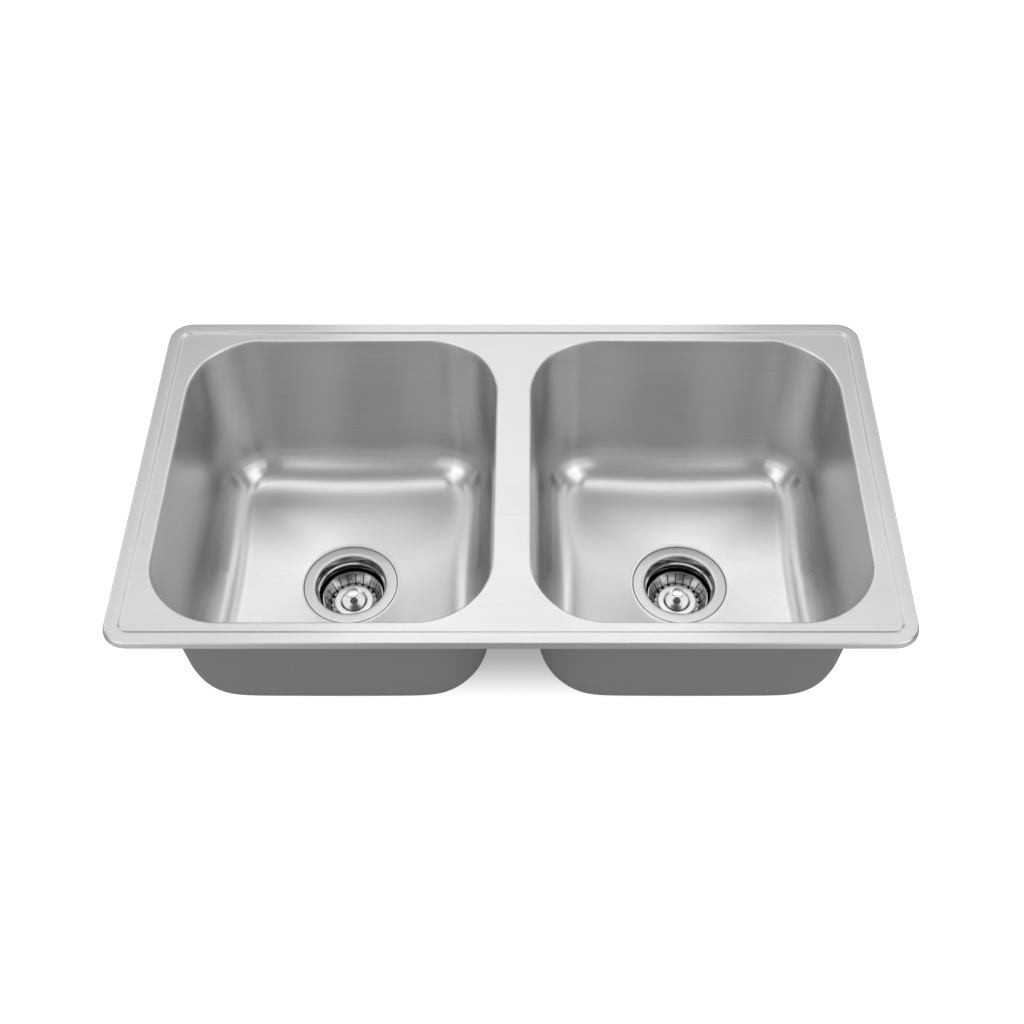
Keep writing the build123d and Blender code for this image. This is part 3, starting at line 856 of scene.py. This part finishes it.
def lay_grain(piece):
    """Store the direction across the brushing: up the walls, and across the flats."""
    mesh = piece.data
    across = mesh.attributes.new("across_grain", "FLOAT_VECTOR", "POINT")
    up = Vector((0, 0, 1))
    along_sink = Vector((1, 0, 0))
    steep, level = STROKE_FLAT
    values = []
    for vertex in mesh.vertices:
        normal = vertex.normal
        stroke = up.cross(normal)
        if stroke.length < 1e-4:
            stroke = along_sink.copy()
        stroke.normalize()
        if stroke.x < 0:
            stroke.negate()
        share = min(1.0, max(0.0, (abs(normal.z) - steep) / (level - steep)))
        flat_stroke = along_sink - normal * normal.x
        stroke = stroke.lerp(flat_stroke, share)
        values += normal.cross(stroke).normalized()[:]
    across.data.foreach_set("vector", values)
    return piece


def lay_shade(piece, darkness):
    """Store each point's painted shade, from its height and from how it faces the drain's axis."""
    mesh = piece.data
    shade = mesh.attributes.new("shade", "FLOAT", "POINT")
    values = []
    for vertex in mesh.vertices:
        spot, normal = vertex.co, vertex.normal
        out = Vector((abs(spot.x) - AT.drain_x, spot.y, 0)).normalized()
        looks = Vector((normal.x * math.copysign(1, spot.x), normal.y, 0))
        values.append(darkness(spot.z, looks.dot(out)))
    shade.data.foreach_set("value", values)
    return piece


def throat_shade(z, facing):
    """Painted shade down the throat's wall, and darker still on the cup's wall under the ledge."""
    depth = AT.flange_top - z
    if depth < THROAT_BEND:
        return 1.0
    if facing > INWARDS:
        return 1.0 if depth < LEDGE_DEPTH / 2 else LEDGE_SHADE
    down = (depth - THROAT_BEND) / (LEDGE_DEPTH - THROAT_BEND)
    return max(DEEPEST_SHADE, 1.0 - THROAT_SHADE_FALL * down)


def trough_shade(z, facing):
    """Painted shade in the trough round the plate, where the water stands."""
    return TROUGH_SHADE if z < AT.basket_floor + DRAIN_SLOT_RISE else 1.0


def post_shade(z, facing):
    """Painted shade on the post under its knob, and on its collar."""
    collar_foot = AT.basket_floor + DISC_HEIGHT - DISC_DISH
    under_knob = AT.knob_top - KNOB_HEIGHT / 2
    return POST_SHADE if collar_foot - COLLAR_HEIGHT < z < under_knob else 1.0


def dress(piece, node, material):
    """Put a finished piece on the body of the CAD node that it stands for."""
    piece.data.materials.clear()
    piece.data.materials.append(material)
    body = frame["nodes"][node]["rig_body"]
    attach(piece, body)
    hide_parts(node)


# ================================================================ materials
BRUSHED_ANISOTROPY = 0.85
WALL_DULLNESS = 1.35            # upright sheet is that much duller than flat sheet
SHEET_FLAT = (0.4, 0.8)         # upward share of the normal: upright below these, flat above
LINE_ALONG = 12.0               # brushing lines per metre along the strokes
LINE_ACROSS = 1100.0            # and across them
LINE_TONES = 0.05               # how far the lines' tone differs, either way
LINE_RELIEF = 0.03 * MM
LINE_STRENGTH = 0.25
WEAR_PATCHES = (9.0, 11.0, 9.0)     # per metre: patches in which the gloss differs
WEAR = 0.06                     # how far it differs, either way
RINGS_TURNED = 2600.0           # rings per metre of radius on turned pieces
TURNED_TONES = 0.05
TURNED_GLOSS = 0.12
GRAIN_TONES = 0.08
GRAIN_GLOSS = 0.1
NOISE_MIDDLE = (0.3, 0.7)       # the range that a noise mostly fills
POLISH_START = (2.0 * MM, 0.8 * MM)     # below the flange: polished under these, satin above


class Graph:
    """The nodes of a material or of the world, as they are put together."""

    def __init__(self, tree):
        self.nodes = tree.nodes
        self.links = tree.links

    def feed(self, socket, value):
        """Link an output to an input, or set the input's own value."""
        if isinstance(value, bpy.types.NodeSocket):
            self.links.new(value, socket)
        else:
            socket.default_value = value

    def set_shader(self, **values):
        """Feed the main shader; an underscore stands for the space in a socket's name."""
        shader = self.nodes["Principled BSDF"]
        for name, value in values.items():
            self.feed(shader.inputs[name.replace("_", " ")], value)

    def fed_to_shader(self, name):
        return self.nodes["Principled BSDF"].inputs[name].links[0].from_socket

    def add(self, kind, inputs, **settings):
        """A new node with its settings, its inputs fed by name or number."""
        node = self.nodes.new(f"ShaderNode{kind}")
        for name, value in settings.items():
            setattr(node, name, value)
        for key, value in inputs.items():
            self.feed(node.inputs[key], value)
        return node

    def calculate(self, operation, *values):
        return self.add("Math", dict(enumerate(values)), operation=operation).outputs[0]

    def length(self, vector):
        return self.add("VectorMath", {0: vector}, operation="LENGTH").outputs["Value"]

    def carry(self, value, source, target, **settings):
        """Carry a value from one range over to another, and hold it at their ends."""
        names = ("From Min", "From Max", "To Min", "To Max")
        inputs = {"Value": value, **dict(zip(names, (*source, *target)))}
        return self.add("MapRange", inputs, **settings).outputs[0]

    def choose(self, share, usual, other):
        """Pass from one shader to the other where the share is 1."""
        return self.add("MixShader", {"Fac": share, 1: usual, 2: other}).outputs[0]

    def parts(self, kind):
        """The X, Y and Z of the place (Object) or of the direction it faces (Normal)."""
        where = self.add("TexCoord", {}).outputs[kind]
        return self.add("SeparateXYZ", {0: where}).outputs

    def stored(self, name):
        """An attribute that was laid on the piece's points."""
        return self.add("Attribute", {}, attribute_name=name).outputs

    def streaks(self, scale, detail=4.0):
        """Noise drawn out along the scale's small numbers, as brushing leaves it."""
        where = self.add("TexCoord", {}).outputs["Object"]
        place = self.add("Mapping", {"Scale": scale, "Vector": where}).outputs["Vector"]
        noise = {"Scale": 1.0, "Detail": detail, "Roughness": 0.65, "Vector": place}
        return self.add("TexNoise", noise).outputs[0]

    def turned_rings(self):
        """Noise in fine rings round each drain's axis, as a lathe leaves it."""
        place = self.parts("Object")
        side = self.calculate("SUBTRACT", self.calculate("ABSOLUTE", place["X"]), AT.drain_x)
        radius = self.length(self.add("CombineXYZ", {"X": side, "Y": place["Y"]}).outputs[0])
        reach = self.calculate("ADD", radius, place["Z"])
        noise = {"Scale": RINGS_TURNED, "Detail": 3.0, "W": reach}
        return self.add("TexNoise", noise, noise_dimensions="1D").outputs[0]

    def flatness(self):
        """1 where the surface lies flat, 0 where it stands upright."""
        upward = self.calculate("ABSOLUTE", self.parts("Normal")["Z"])
        return self.carry(upward, SHEET_FLAT, (0.0, 1.0))

    def vary_tone(self, pattern, tone, spread):
        """Let a pattern make the base colour darker and lighter by a share."""
        share = self.carry(pattern, NOISE_MIDDLE, (0.0, 1.0))
        darker = (*[channel * (1 - spread) for channel in tone], 1)
        lighter = (*[min(1.0, channel * (1 + spread)) for channel in tone], 1)
        colours = self.add("Mix", {}, data_type="RGBA")
        for socket, value in ((0, share), (6, darker), (7, lighter)):
            self.feed(colours.inputs[socket], value)
        self.set_shader(Base_Color=colours.outputs[2])

    def varied_gloss(self, pattern, roughness, spread):
        """Roughness that a pattern raises and lowers by a share."""
        ends = (roughness * (1 - spread), min(1.0, roughness * (1 + spread)))
        return self.carry(pattern, NOISE_MIDDLE, ends)

    def emboss(self, pattern, relief, strength=1.0):
        bump = {"Strength": strength, "Distance": relief, "Height": pattern}
        self.set_shader(Normal=self.add("Bump", bump).outputs["Normal"])

    def finish(self, pattern, tone, tone_spread, roughness, gloss_spread, relief):
        """Let one pattern vary the tone, the gloss and the relief."""
        self.vary_tone(pattern, tone, tone_spread)
        self.set_shader(Roughness=self.varied_gloss(pattern, roughness, gloss_spread))
        self.emboss(pattern, relief)


def new_material(name):
    material = bpy.data.materials.new(name)
    material.use_nodes = True
    return material, Graph(material.node_tree)


def brushed_steel(name, tone, roughness, grain=1.0):
    """Stainless sheet brushed along the sink: fine lines, and highlights drawn out across them."""
    material, graph = new_material(name)
    graph.set_shader(Metallic=1.0, Anisotropic=BRUSHED_ANISOTROPY)
    flat = graph.flatness()
    flat_lines = graph.streaks((LINE_ALONG, LINE_ACROSS, LINE_ACROSS))
    wall_lines = graph.streaks((LINE_ALONG, LINE_ALONG, LINE_ACROSS))
    ends = {0: flat, 2: wall_lines, 3: flat_lines}
    lines = graph.add("Mix", ends, data_type="FLOAT").outputs[0]
    graph.vary_tone(lines, tone, LINE_TONES * grain)
    graph.emboss(lines, LINE_RELIEF, LINE_STRENGTH * grain)
    worn = graph.varied_gloss(graph.streaks(WEAR_PATCHES, 2.0), roughness, WEAR)
    dullness = graph.carry(flat, (0.0, 1.0), (WALL_DULLNESS, 1.0))
    graph.set_shader(Roughness=graph.calculate("MULTIPLY", worn, dullness))
    graph.set_shader(Tangent=graph.stored("across_grain")["Vector"])
    return material


def polish_throat(graph, gloss):
    """Lower the roughness to a share of its value below the strainer's flange."""
    low, high = [AT.flange_top - depth for depth in POLISH_START]
    on_flange = graph.carry(graph.parts("Object")["Z"], (low, high), (gloss, 1.0))
    satin = graph.fed_to_shader("Roughness")
    graph.set_shader(Roughness=graph.calculate("MULTIPLY", satin, on_flange))


def take_shade(graph):
    """Darken the base colour by the painted shade that lay_shade stored."""
    inputs = {0: graph.fed_to_shader("Base Color"), "Scale": graph.stored("shade")["Fac"]}
    graph.set_shader(Base_Color=graph.add("VectorMath", inputs, operation="SCALE").outputs[0])


def turned_steel(name, tone, roughness, relief, polished=None, shaded=False):
    """Steel off the lathe or the wheel; if asked for, with a polished throat and with painted
    shade.
    """
    material, graph = new_material(name)
    graph.set_shader(Metallic=1.0)
    graph.finish(graph.turned_rings(), tone, TURNED_TONES, roughness, TURNED_GLOSS, relief)
    if polished:
        polish_throat(graph, polished / roughness)
    if shaded:
        take_shade(graph)
    return material


def grained(name, tone, roughness, grain, relief, metallic=0.0, tones=GRAIN_TONES):
    """A coat, rubber, foam, fibre or plating: an even grain in tone, gloss and relief."""
    material, graph = new_material(name)
    graph.set_shader(Metallic=metallic)
    pattern = graph.streaks((grain, grain, grain), 3.0)
    graph.finish(pattern, tone, tones, roughness, GRAIN_GLOSS, relief)
    return material


def grey(level):
    return (level, level, level)


# The deck's worn patches all stay rougher than 0.274: where steel crosses that value, the
# render's denoiser takes other guides and leaves a faint line.
MATERIALS = {
    "deck_steel": brushed_steel("deck_steel", grey(0.7), 0.292, grain=0.6),
    "bowl_steel": brushed_steel("bowl_steel", grey(0.66), 0.22),
    "undercoat": grained("undercoat", grey(0.27), 0.78, 900.0, 0.06 * MM),
    "seal_foam": grained("seal_foam", grey(0.05), 0.92, 1400.0, 0.1 * MM, tones=0.25),
    "rail_steel": grained("rail_steel", grey(0.6), 0.36, 160.0, 0.004 * MM, metallic=1.0),
    # the strainer, basket and stem steels darken by the painted shade laid on their points
    "strainer_steel": turned_steel(
        "strainer_steel", grey(0.53), 0.24, 0.004 * MM, polished=0.1, shaded=True
    ),
    "tube_steel": turned_steel("tube_steel", grey(0.6), 0.26, 0.004 * MM),
    "basket_steel": turned_steel("basket_steel", grey(0.82), 0.2, 0.002 * MM, shaded=True),
    "polished_steel": turned_steel("polished_steel", grey(0.72), 0.18, 0.001 * MM, shaded=True),
    "plate_steel": turned_steel("plate_steel", grey(0.68), 0.24, 0.003 * MM),
    "nut_metal": grained("nut_metal", grey(0.62), 0.3, 500.0, 0.01 * MM, metallic=1.0),
    "gasket_rubber": grained("gasket_rubber", grey(0.035), 0.7, 1800.0, 0.02 * MM, tones=0.2),
    "washer_fibre": grained(
        "washer_fibre", (0.45, 0.36, 0.25), 0.9, 1600.0, 0.04 * MM, tones=0.15
    ),
    "stopper_rubber": grained("stopper_rubber", grey(0.03), 0.5, 1200.0, 0.012 * MM, tones=0.2),
}
SLOT_OF = {row["node"]: row["material_slot"] for row in frame["record"]["subparts"]}


def paint_frame_nodes():
    for name, node in frame["nodes"].items():
        material = MATERIALS[SLOT_OF[name]]
        for slot in node.material_slots:
            slot.material = material


# ================================================================ floor, light and camera
FLOOR_REACH = 12.0
FLOOR_TONE = 0.45
FLOOR_GLOW = 1.0                # for the camera only; lifts the floor to white round the shadow
SHADOW_GLOW = 0.3               # the same in a painted shadow core under the sink, which deepens its real shadow
SHADOW_CORE = {"X": 0.34, "Y": 0.045}   # half of that core's length and depth, in metres
SHADOW_FADE = 0.095
ROOM_LIGHT = 0.37
ROOM_SEEN = 1.0                 # the camera sees a white room
LIGHT_DISTANCE = 3.0
# name: azimuth from the back and elevation in degrees, width and height in metres, radiance;
# every box that isn't straight behind or overhead has a twin across the sink
SOFTBOXES = {
    "back": (0, 24, 1.4, 2.1, 0.68),
    "high_back": (0, 57, 1.2, 0.95, 1.35),
    "back_wing": (41, 56, 1.3, 1.05, 1.05),
    "side_back": (60, 25, 1.4, 2.1, 1.25),
    "side_front": (120, 25, 1.4, 2.1, 1.35),
    "front_wing": (150, 25, 1.4, 2.1, 0.95),
    "high_front": (116, 56, 1.3, 1.05, 1.3),
    "overhead": (0, 84, 1.8, 1.1, 1.2),
}
CAMERA_PLACE = (0.02332, -0.9211, 1.1048)
CAMERA_TILT = 36.35             # degrees up from looking straight down
CAMERA_SENSOR = 36.0
CAMERA_LENS = 46.10
CAMERA_SHIFT = (-0.0216, 0.0389)


def floor_glow(graph):
    """How much the floor glows for the camera: least in a painted shadow core under the sink, over
    its real shadow.
    """
    place = graph.parts("Object")
    beyond = {}
    for axis, half in SHADOW_CORE.items():
        away = graph.calculate("ABSOLUTE", place[axis])
        beyond[axis] = graph.calculate("MAXIMUM", graph.calculate("SUBTRACT", away, half), 0.0)
    distance = graph.length(graph.add("CombineXYZ", beyond).outputs[0])
    fade, glows = (0.0, SHADOW_FADE), (SHADOW_GLOW, FLOOR_GLOW)
    return graph.carry(distance, fade, glows, interpolation_type="SMOOTHSTEP")


def seen_by_camera(graph):
    return graph.add("LightPath", {}).outputs["Is Camera Ray"]


def floor_paint():
    """Pale matt paint that glows for the camera, less so in a painted shadow under the sink, and
    that is clear from below.
    """
    material, graph = new_material("floor_paint")
    graph.nodes.remove(graph.nodes["Principled BSDF"])
    matt = graph.add("BsdfDiffuse", {"Color": (*grey(FLOOR_TONE), 1)}).outputs[0]
    glow = graph.add("Emission", {"Strength": floor_glow(graph)}).outputs[0]
    lit = graph.add("AddShader", {0: matt, 1: glow}).outputs[0]
    above = graph.choose(seen_by_camera(graph), matt, lit)
    clear = graph.add("BsdfTransparent", {}).outputs[0]
    from_below = graph.add("NewGeometry", {}).outputs["Backfacing"]
    paint = graph.choose(from_below, above, clear)
    graph.feed(graph.nodes["Material Output"].inputs["Surface"], paint)
    return material


def make_floor():
    """A pale floor that the camera sees as white round the shadow."""
    mesh = bpy.data.meshes.new("floor")
    z = CAD_BOX[0][2]
    signs = ((-1, -1), (1, -1), (1, 1), (-1, 1))
    corners = [(x * FLOOR_REACH, y * FLOOR_REACH, z) for x, y in signs]
    mesh.from_pydata(corners, [], [(0, 1, 2, 3)])
    floor = add_object("floor", mesh)
    mesh.materials.append(floor_paint())


def make_world():
    """A plain room that lights the sink softly, and that the camera sees as white."""
    world = bpy.data.worlds.new("studio")
    bpy.context.scene.world = world
    world.use_nodes = True
    graph = Graph(world.node_tree)
    white = (*grey(1.0), 1)
    graph.nodes.remove(graph.nodes["Background"])
    room, seen = [
        graph.add("Background", {"Color": white, "Strength": strength}).outputs[0]
        for strength in (ROOM_LIGHT, ROOM_SEEN)
    ]
    shown = graph.choose(seen_by_camera(graph), room, seen)
    graph.feed(graph.nodes["World Output"].inputs["Surface"], shown)


def softbox(name, azimuth, elevation, width, height, radiance):
    """A rectangular area light of an even radiance, facing the middle of the sink."""
    light = bpy.data.lights.new(name, "AREA")
    light.shape = "RECTANGLE"
    light.size = width
    light.size_y = height
    light.energy = radiance * math.pi * width * height
    turn, rise = math.radians(azimuth), math.radians(elevation)
    way = Vector((math.sin(turn) * math.cos(rise), math.cos(turn) * math.cos(rise), math.sin(rise)))
    lamp = bpy.data.objects.new(name, light)
    lamp.location = way * LIGHT_DISTANCE
    lamp.rotation_euler = (-way).to_track_quat("-Z", "Y").to_euler()
    bpy.context.scene.collection.objects.link(lamp)


def make_lights():
    for name, (azimuth, *rest) in SOFTBOXES.items():
        softbox(f"{name}_softbox", azimuth, *rest)
        if azimuth:
            softbox(f"{name}_softbox_twin", -azimuth, *rest)


def make_camera():
    camera = bpy.data.cameras.new("camera")
    camera.sensor_width = CAMERA_SENSOR
    camera.lens = CAMERA_LENS
    camera.shift_x, camera.shift_y = CAMERA_SHIFT
    rig = bpy.data.objects.new("camera", camera)
    rig.location = CAMERA_PLACE
    rig.rotation_euler = (math.radians(CAMERA_TILT), 0, 0)
    bpy.context.scene.collection.objects.link(rig)
    bpy.context.scene.camera = rig


# ================================================================ the whole scene
paint_frame_nodes()
dress(lay_grain(make_deck()), "deck", MATERIALS["deck_steel"])
for side in SIDES:
    dress(lay_grain(make_bowl(side)), f"{side}_bowl", MATERIALS["bowl_steel"])
    dress(make_undercoat(side), f"{side}_undercoat", MATERIALS["undercoat"])
    # strainer, basket and stem get painted shade in their base colour from lay_shade
    strainer = lay_shade(make_strainer(side), throat_shade)
    dress(strainer, f"{side}_strainer_body", MATERIALS["strainer_steel"])
    basket = lay_shade(make_basket(side), trough_shade)
    dress(basket, f"{side}_basket", MATERIALS["basket_steel"])
    dress(make_disc(side), f"{side}_basket_disc", MATERIALS["plate_steel"])
    stem = lay_shade(make_stem(side), post_shade)
    dress(stem, f"{side}_stem", MATERIALS["polished_steel"])
    dress(make_outlet(side), f"{side}_outlet_tube", MATERIALS["tube_steel"])
make_floor()
make_world()
make_lights()
make_camera()
bpy.context.scene.view_settings.view_transform = "Standard"
